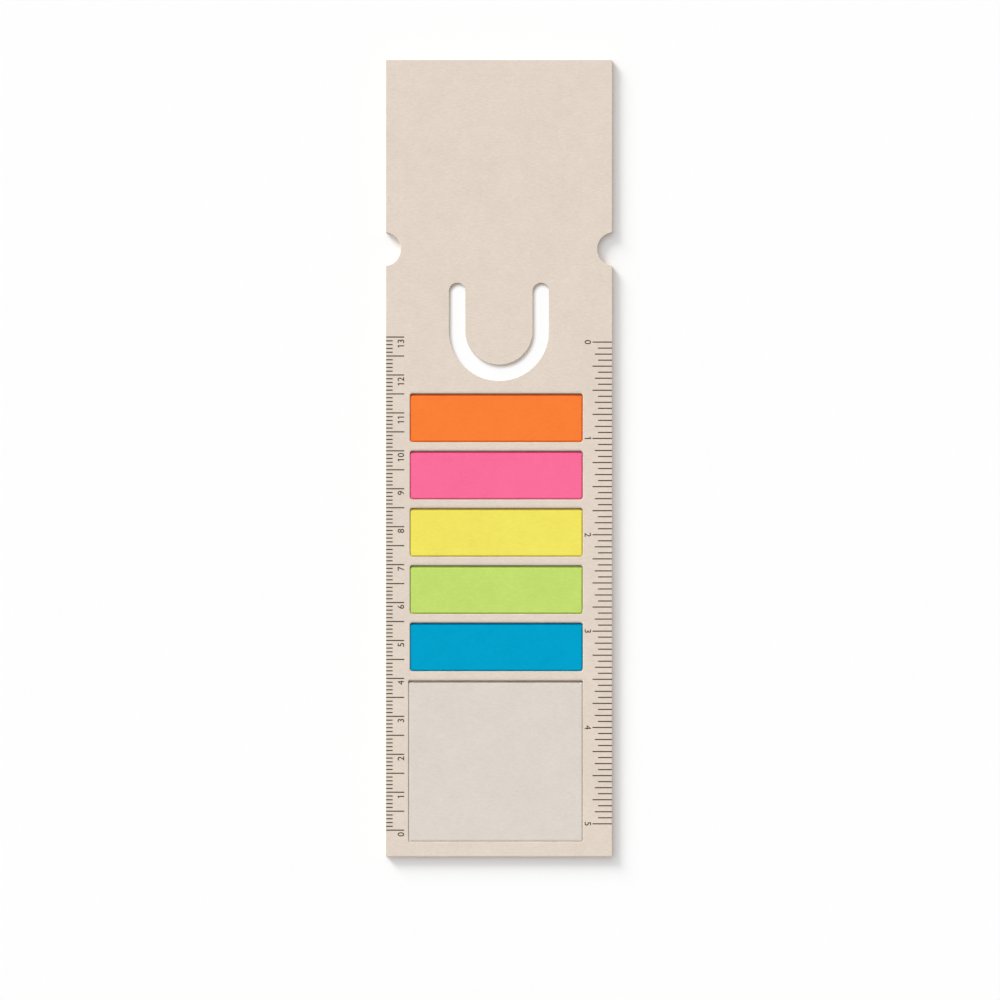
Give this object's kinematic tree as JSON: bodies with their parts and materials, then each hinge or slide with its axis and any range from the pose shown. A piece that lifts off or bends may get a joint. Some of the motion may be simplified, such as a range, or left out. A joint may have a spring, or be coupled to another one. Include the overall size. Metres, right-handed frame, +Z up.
{
  "type": "bookmark with sticky tabs",
  "caption": "Flat card bookmark with a cut-out page clip, side notches, printed centimetre and inch scales, and pads of coloured sticky tabs and memo sheets set in windows.",
  "frame": {"origin": "centre of the bookmark's length and width, on its underside", "axes": "+X across the card towards the inch scale, +Y along the card towards its blank end, +Z up out of the face with the pads"},
  "size_m": [0.0596, 0.21, 0.002],
  "materials": {
    "card": "matt recycled board, pale beige, lightly flecked with short fibres",
    "orange_paper": "matt dyed paper",
    "pink_paper": "matt dyed paper",
    "yellow_paper": "matt dyed paper",
    "green_paper": "matt dyed paper",
    "blue_paper": "matt dyed paper",
    "memo_paper": "matt recycled paper, undyed, lightly flecked",
    "ink": "matt dark brown printing ink on the front card"
  },
  "bodies": {
    "root": {"back_card": "card", "front_card": "card", "orange_tab_pad": "orange_paper", "pink_tab_pad": "pink_paper", "yellow_tab_pad": "yellow_paper", "green_tab_pad": "green_paper", "blue_tab_pad": "blue_paper", "memo_pad": "memo_paper"}
  },
  "joints": []
}
